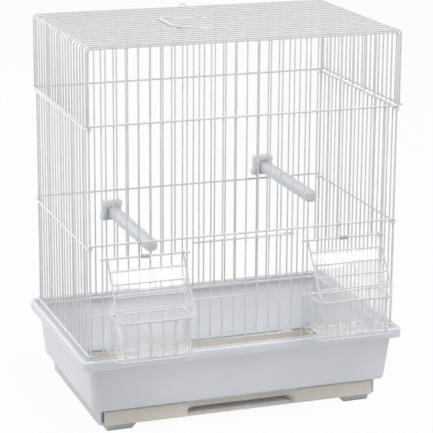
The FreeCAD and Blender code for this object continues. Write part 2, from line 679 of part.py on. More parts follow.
def make_handle():
    """Carrying handle."""
    axis = Vector(0, 0, stay_z)
    grip = Vector(-S.handle_reach, 0, handle_grip_z)
    start = axis + (grip - axis).normalize() * handle_eye_r
    path = [(start.x, -handle_leg_y, start.z), (grip.x, -handle_leg_y, grip.z),
            (grip.x, handle_leg_y, grip.z), (start.x, handle_leg_y, start.z)]
    eyes = [Part.makeTorus(handle_eye_r, handle_r, Vector(0, y, stay_z), Vector(0, 1, 0))
            for y in (-handle_leg_y, handle_leg_y)]
    bail = bent(path, S.handle_bend, S.handle_dia).fuse(eyes).removeSplitter()
    bent_node("carry_handle", [bail.Solids[0]])


def make_back_loop():
    """Loop of bent wire on the back panel, standing just above the roof."""
    y = half_depth + hoop_r + upright_r - S.weld_sink
    x = S.loop_width / 2
    low = roof_z - S.loop_drop
    high = roof_z + S.loop_rise
    path = [(-x, y, low), (-x, y, high), (x, y, high), (x, y, low)]
    bent_node("back_loop", [bent(path, S.loop_bend, S.upright_dia)])


# Main door: rails whose right ends are hairpins round the hinge post, bars and a latch loop
door_post_x = S.door_half_spaces * S.panel_pitch
hairpin_r = upright_r + S.running_gap + door_r
door_rail_y = -half_depth - hairpin_r
door_low_z = ledge + S.door_sill
door_high_z = door_low_z + S.door_height
door_bar_y = door_rail_y + door_r + upright_r - S.weld_sink
latch_y = door_bar_y - S.upright_dia + S.weld_sink


def make_door():
    """Door rails, bars and latch."""
    rails = []
    far = door_post_x + hairpin_r
    inner_y = -half_depth + hairpin_r
    for z in (door_low_z, door_high_z):
        path = [(-door_post_x - S.door_overlap, door_rail_y, z), (far, door_rail_y, z), (far, inner_y, z),
                (far - hairpin_r - S.hairpin_return, inner_y, z)]
        rails.append(bent(path, hairpin_r, S.door_dia))
    bent_node("door_rails", rails)
    length = "Sizes.door_height + 2 * Sizes.rail_tail"
    bars = []
    for space in door_spaces:
        x = upright_x(space)
        foot = Vector(x, door_bar_y, door_low_z - S.rail_tail)
        bars.append(rod(foot, Vector(x, door_bar_y, door_high_z + S.rail_tail), "upright_dia", length))
    group("door_bars", bars)
    low = door_low_z + S.latch_low
    high = low + S.latch_gap
    start_x = S.latch_spaces * S.panel_pitch - door_post_x + S.rail_tail
    end_x = -door_post_x - S.latch_reach
    snap_y = latch_y + S.latch_snap
    path = [(start_x, latch_y, low), (end_x, latch_y, low), (end_x, snap_y, low),
            (end_x, snap_y, high), (end_x, latch_y, high), (start_x, latch_y, high)]
    bent_node("door_latch", [bent(path, S.latch_bend, S.upright_dia)])


# Feeders: basket, hooded cup, sloping flap on a hinge wire and the spring that closes it
feeder_middle = upright_x(S.feeder_first_space + S.feeder_spaces / 2)
basket_weld = S.upright_dia - S.weld_sink
basket_floor_z = basket_low_z + basket_weld
flap_eye_r = rail_r + S.running_gap + upright_r
flap_down = Vector(0, -math.sin(flap_angle), -math.cos(flap_angle))
hinge = Vector(0, -rail_y, header_z)


def make_basket(name, middle):
    """Wire basket in front of a feeder port."""
    left = middle - S.feeder_width / 2
    right = middle + S.feeder_width / 2
    bend_y = -(basket_y - S.basket_bend)
    edges = []
    sides = []
    for z in (basket_low_z, basket_top_z):
        path = [(left, bend_y, z), (left, -basket_y, z), (right, -basket_y, z), (right, bend_y, z)]
        edges.append(bent(path, S.basket_bend, S.upright_dia))
        for x in (left, right):
            sides.append(rod(Vector(x, bend_y, z), Vector(x, -half_depth, z), "upright_dia",
                             "Sizes.basket_depth - Sizes.basket_bend"))
    bent_node(f"{name}_basket_edges", edges)
    length = "Sizes.feeder_width + 2 * Sizes.rail_tail"
    for y in (half_depth + basket_weld, half_depth + S.basket_depth / 3, half_depth + S.basket_depth * 2 / 3):
        start = Vector(left - S.rail_tail, -y, basket_floor_z)
        sides.append(rod(start, Vector(right + S.rail_tail, -y, basket_floor_z), "upright_dia", length))
    bars = [(x, -(half_depth + S.basket_depth / 2)) for x in (left - basket_weld, right + basket_weld)]
    for i in range(int(S.basket_bars)):
        bars.append((left + (i + 0.5) * S.feeder_width / S.basket_bars, -(basket_y - basket_weld)))
    for x, y in bars:
        foot = Vector(x, y, basket_low_z - S.rail_tail)
        sides.append(rod(foot, Vector(x, y, basket_top_z + S.rail_tail), "upright_dia"))
    group(f"{name}_basket_wires", sides)


def make_cup(name, middle):
    """Clear cup with a sloping hood, open towards the cage."""
    body = doc.addObject("PartDesign::Body", f"{name}_cup")
    back = -(rail_y + rail_r + S.cup_clear)
    front = -(basket_y - basket_weld - upright_r - S.cup_clear)
    low = basket_floor_z + upright_r + S.rest_gap
    high = header_z - S.cup_head_gap
    drop = (upright_r + S.hood_clear) / math.sin(flap_angle)
    slope = 1 / math.tan(flap_angle)

    def hood_z(y, inset):
        return header_z - drop - inset / math.sin(flap_angle) - (-rail_y - y) * slope

    def hood_y(z, inset):
        return -rail_y - (header_z - drop - inset / math.sin(flap_angle) - z) / slope

    wall = S.cup_wall
    outside = polygon(body, "cup_outline", "YZ_Plane", [
        (back, low), (front, low), (front, hood_z(front, 0)), (hood_y(high, 0), high), (back, high),
    ], offset=str(middle))
    width = "(Sizes.feeder_width - Sizes.upright_dia - 2 * Sizes.cup_clear)"
    block = pad(body, "cup_block", outside, width, symmetric=True)
    ends = edges_where(block.Shape, lambda e: e.BoundBox.XLength < 1e-3 and e.BoundBox.YMax < back - 1e-3)
    fillet(body, "cup_rounding", block, ends, "Sizes.cup_corner")
    inside = polygon(body, "cup_inside", "YZ_Plane", [
        (back - wall, low + wall), (front + wall, low + wall), (front + wall, hood_z(front + wall, wall)),
        (hood_y(high - wall, wall), high - wall), (back + wall, high - wall), (back + wall, low + S.cup_back),
        (back - wall, low + S.cup_back),
    ], offset=str(middle))
    pocket(body, "cup_hollow", inside, f"{width} - 2 * Sizes.cup_wall", symmetric=True)
    return keep(body, f"{name}_cup")


def make_flap(name, middle):
    """Sloping flap: frame with two eyes on the hinge wire, and its cross wires."""
    left = middle - S.feeder_width / 2
    right = middle + S.feeder_width / 2
    start = hinge + flap_down * flap_eye_r
    end = hinge + flap_down * flap_length
    path = [(left, start.y, start.z), (left, end.y, end.z), (right, end.y, end.z), (right, start.y, start.z)]
    eyes = [Part.makeTorus(flap_eye_r, upright_r, Vector(x, hinge.y, hinge.z), Vector(1, 0, 0))
            for x in (left, right)]
    frame = bent(path, S.flap_bend, S.upright_dia).fuse(eyes).removeSplitter()
    bent_node(f"{name}_flap", [frame.Solids[0]])
    inset = upright_r - S.weld_sink
    bars = []
    for row in range(1, int(S.flap_rows) + 1):
        at = hinge + flap_down * (flap_length * row / (S.flap_rows + 1))
        bars.append(rod(Vector(left + inset, at.y, at.z), Vector(right - inset, at.y, at.z), "upright_dia",
                        "Sizes.feeder_width - Sizes.upright_dia + 2 * Sizes.weld_sink"))
    group(f"{name}_flap_bars", bars)
    reach = S.panel_pitch * S.feeder_spaces / 2 + 2 * S.rail_tail
    length = "Sizes.panel_pitch * Sizes.feeder_spaces + 4 * Sizes.rail_tail"
    start = Vector(middle - reach, hinge.y, hinge.z)
    header = rod(start, Vector(middle + reach, hinge.y, hinge.z), "rail_dia", length)
    keep_rod(header, f"{name}_hinge_wire")


def arc_through(start, corner, end):
    """Circular arc from start to end, tangent to the lines that meet at the corner."""
    chord = (start + end) / 2
    half = (end - start).Length / 2
    rise = (corner - chord).Length
    sag = half * math.tan(math.atan2(rise, half) / 2)
    return Part.Arc(start, chord + (corner - chord).normalize() * sag, end).toShape()


def biarc(start, start_way, end, end_way):
    """Two tangent arcs from one point and direction to another."""
    across = end - start
    ways = start_way + end_way
    spread = 2 * (1 - start_way.dot(end_way))
    along = across.dot(ways)
    reach = (math.sqrt(along * along + spread * across.dot(across)) - along) / spread
    first = start + start_way * reach
    second = end - end_way * reach
    joint = (first + second) / 2
    return [arc_through(start, first, joint), arc_through(joint, second, end)]


spring_coil_r = rail_r + S.rest_gap + spring_r
# Points of a spring's line that count as its own neighbours: a run of four wire diameters
SPRING_STEPS = 16


def make_spring(name, middle):
    """Spring: arm on the flap, coil round the hinge wire, end hooked over the middle rail."""
    first_angle = flap_angle
    last_angle = 2 * math.pi * S.spring_turns
    length = S.spring_pitch * (last_angle - first_angle) / (2 * math.pi)
    climb = -S.spring_pitch / (2 * math.pi)

    def point(angle):
        x = middle + length / 2 + climb * (angle - first_angle)
        return Vector(x, hinge.y - spring_coil_r * math.cos(angle), hinge.z + spring_coil_r * math.sin(angle))

    def way(angle):
        return Vector(climb, spring_coil_r * math.sin(angle), spring_coil_r * math.cos(angle)).normalize()

    quarters = math.ceil((last_angle - first_angle) / (math.pi / 2))
    angles = [first_angle + (last_angle - first_angle) * i / quarters for i in range(quarters + 1)]
    begin = point(angles[0])
    edges = [Part.LineSegment(begin + flap_down * S.spring_arm, begin).toShape()]
    ways = [flap_down * -1] + [way(a) for a in angles[1:-1]] + [Vector(0, 0, 1)]
    for i in range(quarters):
        edges += biarc(point(angles[i]), ways[i], point(angles[i + 1]), ways[i + 1])
    leave = point(angles[-1])
    foot = Vector(leave.x, leave.y, middle_z)
    top = Vector(foot.x, -rail_y, middle_z + spring_coil_r)
    over = Vector(foot.x, -rail_y + spring_coil_r, middle_z)
    edges.append(Part.LineSegment(leave, foot).toShape())
    edges.append(Part.Arc(foot, top, over).toShape())
    edges.append(Part.LineSegment(over, over - Vector(0, 0, S.spring_hook)).toShape())
    path = Part.Wire(edges)
    bent_node(f"{name}_spring", [sweep(path, S.spring_dia)])
    line = path.discretize(Distance=S.spring_dia / 4)
    least = min((p - q).Length for i, p in enumerate(line) for q in line[i + SPRING_STEPS:])
    print(f"{name}_spring least gap to itself {least - S.spring_dia:.2f} mm")


# Perches: bars on clips whose lock bars are turned behind the uprights of the back panel
def make_perch(name, spaces, height):
    """Perch and its clip; spaces are counted from the middle, to the left if negative."""
    x = spaces * S.panel_pitch
    z = ledge + height
    seat = half_depth - upright_r - S.rest_gap
    clip = doc.addObject("PartDesign::Body", f"{name}_clip")
    left = x - S.clip_shift - S.clip_width / 2
    right = left + S.clip_width
    low = z + S.clip_rise - S.clip_height / 2
    high = low + S.clip_height
    corners = [(left, low), (right, low), (right, high), (left, high)]
    plate = polygon(clip, "plate_outline", "XZ_Plane", corners, offset=str(-seat))
    block = pad(clip, "plate", plate, "Sizes.clip_plate")
    upright_edges = edges_where(block.Shape, lambda e: e.BoundBox.YLength > 1)
    fillet(clip, "plate_rounding", block, upright_edges, "Sizes.clip_corner")
    edge = S.clip_recess_edge
    hollow_top = z - S.perch_thickness / 2
    hollow = polygon(clip, "recess_outline", "XZ_Plane", [
        (left + edge, low + edge), (x + edge, low + edge), (x, hollow_top), (left + edge, hollow_top),
    ], offset=str(S.clip_plate - seat))
    pocket(clip, "recess", hollow, "Sizes.clip_recess")
    behind = half_depth + upright_r + S.rest_gap
    neck_x = S.clip_neck / 2
    bar_z = S.clip_bar_height / 2
    neck = polygon(clip, "neck_outline", "XZ_Plane", [
        (x - neck_x, z - bar_z), (x + neck_x, z - bar_z), (x + neck_x, z + bar_z), (x - neck_x, z + bar_z),
    ], offset=str(-behind))
    pad(clip, "neck", neck, "Sizes.upright_dia + 2 * Sizes.rest_gap")
    bar_x = S.clip_bar / 2
    turn = math.radians(S.clip_bar_angle)
    bar = polygon(clip, "bar_outline", "XZ_Plane", [
        (x + u * math.cos(turn) - v * math.sin(turn), z + u * math.sin(turn) + v * math.cos(turn))
        for u, v in ((-bar_x, -bar_z), (bar_x, -bar_z), (bar_x, bar_z), (-bar_x, bar_z))
    ], offset=str(-behind - S.clip_bar_plate))
    lock = pad(clip, "bar", bar, "Sizes.clip_bar_plate")
    ends = edges_where(lock.Shape, lambda e: e.BoundBox.YMin > behind - 1e-3 and e.BoundBox.YLength > 1)
    fillet(clip, "bar_rounding", lock, ends, "Sizes.clip_bar_height * 0.45")
    keep(clip, f"{name}_clip")

    perch = doc.addObject("PartDesign::Body", name)
    wide = S.perch_width / 2
    deep = S.perch_thickness / 2
    section = polygon(perch, "perch_section", "XZ_Plane", [
        (x - wide, z - deep), (x + wide, z - deep), (x + wide, z + deep), (x - wide, z + deep),
    ], offset=str(S.clip_plate - seat))
    bar = pad(perch, "round_bar", section, "Sizes.perch_length")
    long = edges_where(bar.Shape, lambda e: e.BoundBox.YLength > 1)
    sides = fillet(perch, "side_rounding", bar, long, "Sizes.perch_corner")
    free_y = seat - S.clip_plate - S.perch_length
    tip = edges_where(sides.Shape, lambda e: e.BoundBox.YMax < free_y + 1e-3)
    fillet(perch, "tip_rounding", sides, tip, "Sizes.perch_round")
    keep(perch, name)


make_tub()
make_drawer()
make_front()
make_back()
for side_name, side_sign in (("left", -1), ("right", 1)):
    make_side(side_name, side_sign)
make_cap()
make_handle()
make_back_loop()
make_door()
for side_name, side_sign in (("left", 1), ("right", -1)):
    make_basket(f"{side_name}_feeder", side_sign * feeder_middle)
    make_cup(f"{side_name}_feeder", side_sign * feeder_middle)
    make_flap(f"{side_name}_feeder", side_sign * feeder_middle)
    make_spring(f"{side_name}_feeder", side_sign * feeder_middle)
make_perch("left_perch", -S.perch_left_space, S.perch_left_height)
make_perch("right_perch", S.perch_right_space, S.perch_right_height)

doc.recompute()
for item in doc.Objects:
    if "Invalid" in item.State or "Error" in item.State:
        raise RuntimeError(f"{item.Label} failed: {item.State}")
for node in nodes:
    if node.Shape.isNull() or not node.Shape.isValid():
        raise RuntimeError(f"{node.Label} has no valid shape")
os.makedirs("parts", exist_ok=True)
for node in nodes:
    node.Shape.exportStep(f"parts/{node.Label}.step")
    print(node.Label, len(node.Shape.Solids), round(node.Shape.Volume, 1))
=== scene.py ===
"""Dresses a white wire bird cage: coated wire, moulded tub and drawer, clear cups, springs and perches."""
import json
import logging
import math
from dataclasses import dataclass
from enum import Enum
from functools import cache

import bmesh
import bpy
from mathutils import Matrix, Vector
from mathutils.bvhtree import BVHTree
from mathutils.geometry import intersect_ray_tri


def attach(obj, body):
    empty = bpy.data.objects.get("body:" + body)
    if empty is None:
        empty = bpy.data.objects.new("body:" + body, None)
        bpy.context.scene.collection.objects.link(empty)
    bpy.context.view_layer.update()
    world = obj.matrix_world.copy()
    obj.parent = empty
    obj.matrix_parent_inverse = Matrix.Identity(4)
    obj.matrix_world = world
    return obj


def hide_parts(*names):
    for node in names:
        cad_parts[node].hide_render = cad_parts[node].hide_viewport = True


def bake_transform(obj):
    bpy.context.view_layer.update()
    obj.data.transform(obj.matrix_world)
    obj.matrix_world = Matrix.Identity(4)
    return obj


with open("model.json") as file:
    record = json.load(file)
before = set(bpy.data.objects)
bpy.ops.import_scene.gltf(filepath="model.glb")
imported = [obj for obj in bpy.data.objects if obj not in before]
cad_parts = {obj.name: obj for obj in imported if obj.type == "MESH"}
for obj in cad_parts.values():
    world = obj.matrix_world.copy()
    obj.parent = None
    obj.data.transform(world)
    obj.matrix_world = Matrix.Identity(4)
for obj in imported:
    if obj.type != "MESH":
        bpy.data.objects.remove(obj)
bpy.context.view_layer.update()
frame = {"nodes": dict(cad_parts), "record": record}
MM = 0.001
WHITE = (1.0, 1.0, 1.0, 1.0)
WELDED_BODIES = ("cage", "main_door", "left_flap", "right_flap")

log = logging.getLogger("bird_cage")


class Side(Enum):
    """The two feeders, and the sign of their place along X."""

    LEFT = -1
    RIGHT = 1

    @property
    def word(self) -> str:
        """Name of the side as the pieces carry it."""
        return self.name.lower()


class Edge(Enum):
    """How the edges of a piece are finished, and the width that this eases."""

    DRAWN_WIRE = 0.0
    MOULDED = 0.45 * MM
    FINE_MOULDED = 0.3 * MM


def linear(hex_colour: str) -> tuple[float, float, float, float]:
    """Turns an sRGB hex colour to linear.

    Args:
        hex_colour: six hex digits after a hash.

    Returns:
        Red, green, blue and an alpha of 1.
    """
    parts = [int(hex_colour[i:i + 2], 16) / 255 for i in (1, 3, 5)]
    red, green, blue = (p / 12.92 if p <= 0.04045 else ((p + 0.055) / 1.055) ** 2.4 for p in parts)
    return red, green, blue, 1.0


def add_node(tree: bpy.types.NodeTree, kind: str, values: dict | None = None, links: dict | None = None,
             **settings: object) -> bpy.types.Node:
    """Adds a shader node with its settings, socket values and incoming links.

    Args:
        tree: node tree that gets the node.
        kind: the node's type name.
        values: input name to default value.
        links: input name to the socket that feeds it.
        settings: properties of the node itself.

    Returns:
        The new node.
    """
    node = tree.nodes.new(kind)
    for name, setting in settings.items():
        setattr(node, name, setting)
    for name, number in (values or {}).items():
        node.inputs[name].default_value = number
    for name, socket in (links or {}).items():
        tree.links.new(socket, node.inputs[name])
    return node


def new_tree(name: str) -> tuple[bpy.types.Material, bpy.types.NodeTree]:
    """Makes an empty material.

    Args:
        name: the material's name.

    Returns:
        The material and its node tree.
    """
    material = bpy.data.materials.new(name)
    material.use_nodes = True
    material.node_tree.nodes.clear()
    return material, material.node_tree


@dataclass(frozen=True)
class Finish:
    """A surface with two close tones, an uneven gloss, a fine relief and marks that run one way."""

    name: str
    tone: str
    second_tone: str
    cloud_mm: float
    grain_mm: float
    relief_mm: float
    gloss: tuple[float, float]
    mark_mm: tuple[float, float, float]
    mark_gloss: float = 0.0
    metallic: float = 0.0
    ior: float = 1.5
    coat: float = 0.0
    coat_ior: float = 1.5
    transmission: float = 0.0
    alpha: float = 1.0
    milk: float = 0.0
    milk_mm: float = 0.0
    tone_stops: tuple[float, float] = (0.35, 0.65)
    mark_range: tuple[float, float] = (0.55, 0.75)
    cloud_detail: float = 3.0
    fine_detail: float = 2.0
    relief_strength: float = 0.5

    def material(self) -> bpy.types.Material:
        """Builds the node material.

        Returns:
            The material.
        """
        material, tree = new_tree(self.name)
        place = add_node(tree, "ShaderNodeTexCoord").outputs["Object"]
        cloud = add_node(tree, "ShaderNodeTexNoise",
                         {"Scale": 1 / (self.cloud_mm * MM), "Detail": self.cloud_detail},
                         {"Vector": place}).outputs["Fac"]
        grain = add_node(tree, "ShaderNodeTexNoise",
                         {"Scale": 1 / (self.grain_mm * MM), "Detail": self.fine_detail},
                         {"Vector": place}).outputs["Fac"]
        along = add_node(tree, "ShaderNodeMapping", {"Scale": [1 / (size * MM) for size in self.mark_mm]},
                         {"Vector": place}).outputs["Vector"]
        marks = add_node(tree, "ShaderNodeTexNoise", {"Scale": 1.0, "Detail": self.fine_detail},
                         {"Vector": along}).outputs["Fac"]
        colour = add_node(tree, "ShaderNodeValToRGB", links={"Fac": cloud})
        tones = (self.tone, self.second_tone)
        for element, position, tone in zip(colour.color_ramp.elements, self.tone_stops, tones):
            element.position = position
            element.color = linear(tone)
        even = add_node(tree, "ShaderNodeMapRange", {"To Min": self.gloss[0], "To Max": self.gloss[1]},
                        {"Value": grain}).outputs["Result"]
        scuffed = add_node(tree, "ShaderNodeMapRange",
                           {"From Min": self.mark_range[0], "From Max": self.mark_range[1],
                            "To Min": 0.0, "To Max": self.mark_gloss},
                           {"Value": marks}).outputs["Result"]
        gloss = add_node(tree, "ShaderNodeMath", links={0: even, 1: scuffed}, operation="ADD").outputs["Value"]
        relief = add_node(tree, "ShaderNodeBump",
                          {"Strength": self.relief_strength, "Distance": self.relief_mm * MM},
                          {"Height": grain}).outputs["Normal"]
        shader = add_node(
            tree, "ShaderNodeBsdfPrincipled",
            {"Metallic": self.metallic, "IOR": self.ior, "Coat Weight": self.coat, "Coat IOR": self.coat_ior,
             "Transmission Weight": self.transmission, "Alpha": self.alpha, "Subsurface Weight": self.milk,
             "Subsurface Radius": (1.0, 1.0, 1.0), "Subsurface Scale": self.milk_mm * MM},
            {"Base Color": colour.outputs["Color"], "Roughness": gloss, "Normal": relief})
        add_node(tree, "ShaderNodeOutputMaterial", links={"Surface": shader.outputs["BSDF"]})
        return material


# Epoxy-dipped steel wire: white with an even soft gloss, a little duller where the dip ran down
WIRE_COAT = Finish("epoxy_dipped_steel_wire", "#e1e2e4", "#e6e7e8", cloud_mm=14.0, grain_mm=8.0,
                   relief_mm=0.01, gloss=(0.36, 0.46), mark_mm=(2.0, 2.0, 30.0), mark_gloss=0.08)
# Bare drawn spring wire: grey steel with fine drawing lines along it
SPRING_WIRE = Finish("drawn_spring_steel", "#c6c7c9", "#d0d1d2", cloud_mm=6.0, grain_mm=4.0,
                     relief_mm=0.01, gloss=(0.42, 0.52), mark_mm=(1.0, 1.0, 8.0), mark_gloss=0.10,
                     metallic=1.0)
# Injection-moulded polypropylene: satin and milky, faintly clouded where the melt met, wiped sideways in
# cleaning. The mould's grain is finer than 2 mm on a real tub and is drawn as coarse as that to show
TUB_PLASTIC = Finish("moulded_polypropylene_tub", "#dde0e7", "#e1e4eb", cloud_mm=60.0, grain_mm=2.0,
                     relief_mm=0.03, gloss=(0.50, 0.62), mark_mm=(90.0, 90.0, 3.0), mark_gloss=0.14,
                     milk=1.0, milk_mm=8.0)
# The same plastic in warm grey-beige for the drawer, less milky, scuffed where it slides in and out
DRAWER_PLASTIC = Finish("moulded_polypropylene_drawer", "#dcd7cd", "#e1dcd3", cloud_mm=45.0, grain_mm=2.0,
                        relief_mm=0.03, gloss=(0.40, 0.52), mark_mm=(3.0, 70.0, 3.0), mark_gloss=0.16)
# Moulded polystyrene of the perches: pale grey-blue and milky with a matt mould finish, rubbed across by claws
PERCH_PLASTIC = Finish("moulded_polystyrene_perch", "#cacdd2", "#cfd2d6", cloud_mm=25.0, grain_mm=2.0,
                       relief_mm=0.03, gloss=(0.48, 0.58), mark_mm=(20.0, 1.5, 20.0), mark_gloss=0.18,
                       ior=1.4, milk=1.0, milk_mm=16.0)
# Clear moulded polystyrene: colourless and glossy. Walls this thin hardly bend what stands behind them, so the
# IOR is low and the coat carries the gloss
CLEAR_PLASTIC = Finish("clear_moulded_polystyrene", "#fdfdfe", "#fefefe", cloud_mm=30.0, grain_mm=12.0,
                       relief_mm=0.005, gloss=(0.0, 0.02), mark_mm=(25.0, 25.0, 8.0), mark_gloss=0.03,
                       ior=1.15, coat=1.0, coat_ior=1.85, transmission=1.0, alpha=0.21)


def new_piece(name: str, mesh: bpy.types.Mesh, material: bpy.types.Material) -> bpy.types.Object:
    """Links a finished mesh to the scene as an object at the origin.

    Args:
        name: the piece's name.
        mesh: its mesh, already in place.
        material: its only material.

    Returns:
        The object.
    """
    mesh.materials.clear()
    mesh.materials.append(material)
    piece = bpy.data.objects.new(name, mesh)
    bpy.context.scene.collection.objects.link(piece)
    log.info("%s: %d faces", name, len(mesh.polygons))
    return piece


def smooth_mesh(name: str, form: bmesh.types.BMesh, sharp_deg: float = 32.0) -> bpy.types.Mesh:
    """Turns a bmesh to a mesh that is smooth except across real edges.

    Args:
        name: the mesh's name.
        form: the bmesh, which is freed.
        sharp_deg: angle above which an edge stays sharp.

    Returns:
        The mesh.
    """
    for face in form.faces:
        face.smooth = True
    mesh = bpy.data.meshes.new(name)
    form.to_mesh(mesh)
    form.free()
    mesh.set_sharp_from_angle(angle=math.radians(sharp_deg))
    return mesh


@dataclass
class Skin:
    """Smooth visible skin of one solid, with its edges eased as the maker's process eases them."""

    node: str
    finish: bpy.types.Material
    edge: Edge = Edge.DRAWN_WIRE
    merge: float = 0.002 * MM
    flat_deg: float = 1.5
    corner_deg: float = 40.0

    def form(self) -> bmesh.types.BMesh:
        """Merges a copy of the solid's triangles and eases its edges.

        Returns:
            The bmesh of the skin.
        """
        form = bmesh.new()
        form.from_mesh(frame["nodes"][self.node].data)
        bmesh.ops.remove_doubles(form, verts=form.verts, dist=self.merge)
        if self.edge is not Edge.DRAWN_WIRE:
            bmesh.ops.dissolve_limit(form, angle_limit=math.radians(self.flat_deg),
                                     use_dissolve_boundaries=False, verts=form.verts, edges=form.edges,
                                     delimit=set())
            corners = [e for e in form.edges
                       if len(e.link_faces) == 2 and e.calc_face_angle(0.0) > math.radians(self.corner_deg)]
            bmesh.ops.bevel(form, geom=corners, offset=self.edge.value, offset_type="OFFSET", affect="EDGES",
                            segments=2, profile=0.5, material=-1, clamp_overlap=True)
        return form

    def dress(self) -> bpy.types.Object:
        """Makes the skin a piece in the solid's place.

        Returns:
            The piece.
        """
        name = f"{self.node}_skin"
        return new_piece(name, smooth_mesh(name, self.form()), self.finish)


def dress_all(nodes: list[str], body: str, finish: bpy.types.Material, edge: Edge = Edge.DRAWN_WIRE) -> None:
    """Gives each solid of a body its skin.

    Args:
        nodes: names of the solids.
        body: the body that they ride on.
        finish: their material.
        edge: how their edges are eased.
    """
    for node in nodes:
        piece = Skin(node, finish, edge).dress()
        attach(piece, body)
        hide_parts(node)


@cache
def triangles(node: str) -> tuple[BVHTree, list[list[Vector]], list[Vector]]:
    """Reads the triangles of a solid.

    Args:
        node: name of the solid.

    Returns:
        A search tree of the triangles, the corners of each and the direction that each faces.
    """
    mesh = frame["nodes"][node].data
    points = [vertex.co.copy() for vertex in mesh.vertices]
    faces = [list(face.vertices) for face in mesh.polygons]
    corners = [[points[index] for index in face] for face in faces]
    return BVHTree.FromPolygons(points, faces), corners, [face.normal.copy() for face in mesh.polygons]


def cut_point(first: list[Vector], second: list[Vector]) -> Vector | None:
    """Finds a point where two triangles cut each other.

    Args:
        first: corners of one triangle.
        second: corners of the other.

    Returns:
        The point, or nothing where they don't cut.
    """
    for cutter, cut in ((first, second), (second, first)):
        for start, end in zip(cutter, cutter[1:] + cutter[:1]):
            hit = intersect_ray_tri(*cut, end - start, start, True)
            if hit and (hit - start).length <= (end - start).length:
                return hit
    return None


@dataclass
class Welds:
    """Resistance welds of one body: flat beads of steel and coat where two wires cross."""

    body: str
    finish: bpy.types.Material
    bead: float = 1.25 * MM
    flatness: float = 0.55
    spread: float = 2.5 * MM
    around: int = 8
    rings: int = 4

    def touches(self, first: str, second: str) -> list[tuple[Vector, Vector]]:
        """Finds where the wires of two solids cut into each other.

        Args:
            first: name of one solid.
            second: name of the other.

        Returns:
            A point on each cut, with the direction that the first wire faces there.
        """
        tree, corners, normals = triangles(first)
        other_tree, other_corners, _ = triangles(second)
        cuts = ((cut_point(corners[i], other_corners[j]), normals[i]) for i, j in tree.overlap(other_tree))
        return [(point, normal) for point, normal in cuts if point]

    def clusters(self, first: str, second: str) -> list[tuple[Vector, Vector]]:
        """Gathers the cuts of two solids to one place and direction for each weld.

        Args:
            first: name of one solid.
            second: name of the other.

        Returns:
            Middle and direction of each weld.
        """
        welds: list[list[tuple[Vector, Vector]]] = []
        for touch in self.touches(first, second):
            near = next((w for w in welds if (w[0][0] - touch[0]).length < self.spread), None)
            if near:
                near.append(touch)
            else:
                welds.append([touch])
        return [(sum((t[0] for t in w), Vector()) / len(w), sum((t[1] for t in w), Vector())) for w in welds]

    def bead_mesh(self) -> bpy.types.Mesh:
        """Makes one flat bead at the origin, to be copied to every weld.

        Returns:
            The bead's mesh.
        """
        form = bmesh.new()
        bmesh.ops.create_uvsphere(form, u_segments=self.around, v_segments=self.rings, radius=self.bead,
                                  matrix=Matrix.Diagonal((1.0, 1.0, self.flatness, 1.0)))
        return smooth_mesh("weld_bead", form)

    def dress(self) -> None:
        """Sets a bead on every weld of the body."""
        behaviour = frame["record"]["behaviour"]
        wires = set(behaviour["bodies"][self.body])
        bead = self.bead_mesh()
        form = bmesh.new()
        for first, second in behaviour["press_fits"]:
            if wires.issuperset((first, second)):
                for middle, facing in self.clusters(first, second):
                    turn = facing.to_track_quat("Z", "X").to_matrix().to_4x4()
                    set_bead = bead.copy()
                    set_bead.transform(Matrix.Translation(middle) @ turn)
                    form.from_mesh(set_bead)
                    bpy.data.meshes.remove(set_bead)
        bpy.data.meshes.remove(bead)
        name = f"{self.body}_welds"
        piece = new_piece(name, smooth_mesh(name, form), self.finish)
        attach(piece, self.body)


@dataclass
class WireBody:
    """Fixed wires of the cage: panels, roof cap and stays."""

    finish: bpy.types.Material

    def dress(self) -> None:
        """Skins every fixed wire."""
        panels = [f"{side}_{piece}" for side in ("front", "back")
                  for piece in ("posts", "top_wire", "uprights", "rails")]
        sides = [f"{side}_side_{piece}" for side in ("left", "right") for piece in ("uprights", "rails")]
        cap = ["roof_wires", "roof_stays", "back_loop"]
        cap += [f"cap_{side}_{piece}" for side in ("left", "right") for piece in ("legs", "hem")]
        dress_all(panels + sides + cap, "cage", self.finish)


@dataclass
class Door:
    """Front door with its latch."""

    finish: bpy.types.Material

    def dress(self) -> None:
        """Skins the door's wires."""
        dress_all(["door_rails", "door_bars", "door_latch"], "main_door", self.finish)


@dataclass
class Handle:
    """Folding carrying handle."""

    finish: bpy.types.Material

    def dress(self) -> None:
        """Skins the handle."""
        dress_all(["carry_handle"], "handle", self.finish)


@dataclass
class Feeder:
    """Basket, clear cup, sprung flap and its spring on one side of the door."""

    side: Side
    wire: bpy.types.Material
    spring: bpy.types.Material
    clear: bpy.types.Material
    coil_margin: float = 0.6 * MM

    def dress(self) -> None:
        """Skins the feeder's pieces and its spring."""
        name = f"{self.side.word}_feeder"
        flap = f"{self.side.word}_flap"
        dress_all([f"{name}_basket_edges", f"{name}_basket_wires", f"{name}_hinge_wire"], "cage", self.wire)
        dress_all([f"{name}_flap", f"{name}_flap_bars"], flap, self.wire)
        dress_all([f"{name}_cup"], "cage", self.clear, Edge.FINE_MOULDED)
        self.wind(f"{name}_spring")

    def wind(self, node: str) -> None:
        """Makes the spring a skinned piece with its place baked into its mesh.

        Args:
            node: the spring's solid.
        """
        piece = Skin(node, self.spring).dress()
        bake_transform(piece)
        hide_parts(node)


@dataclass
class Base:
    """Moulded tub and its drawer."""

    tub: bpy.types.Material
    drawer: bpy.types.Material

    def dress(self) -> None:
        """Skins the tub and the drawer."""
        dress_all(["base_tub"], "cage", self.tub, Edge.MOULDED)
        dress_all(["drawer_tray"], "drawer", self.drawer, Edge.MOULDED)


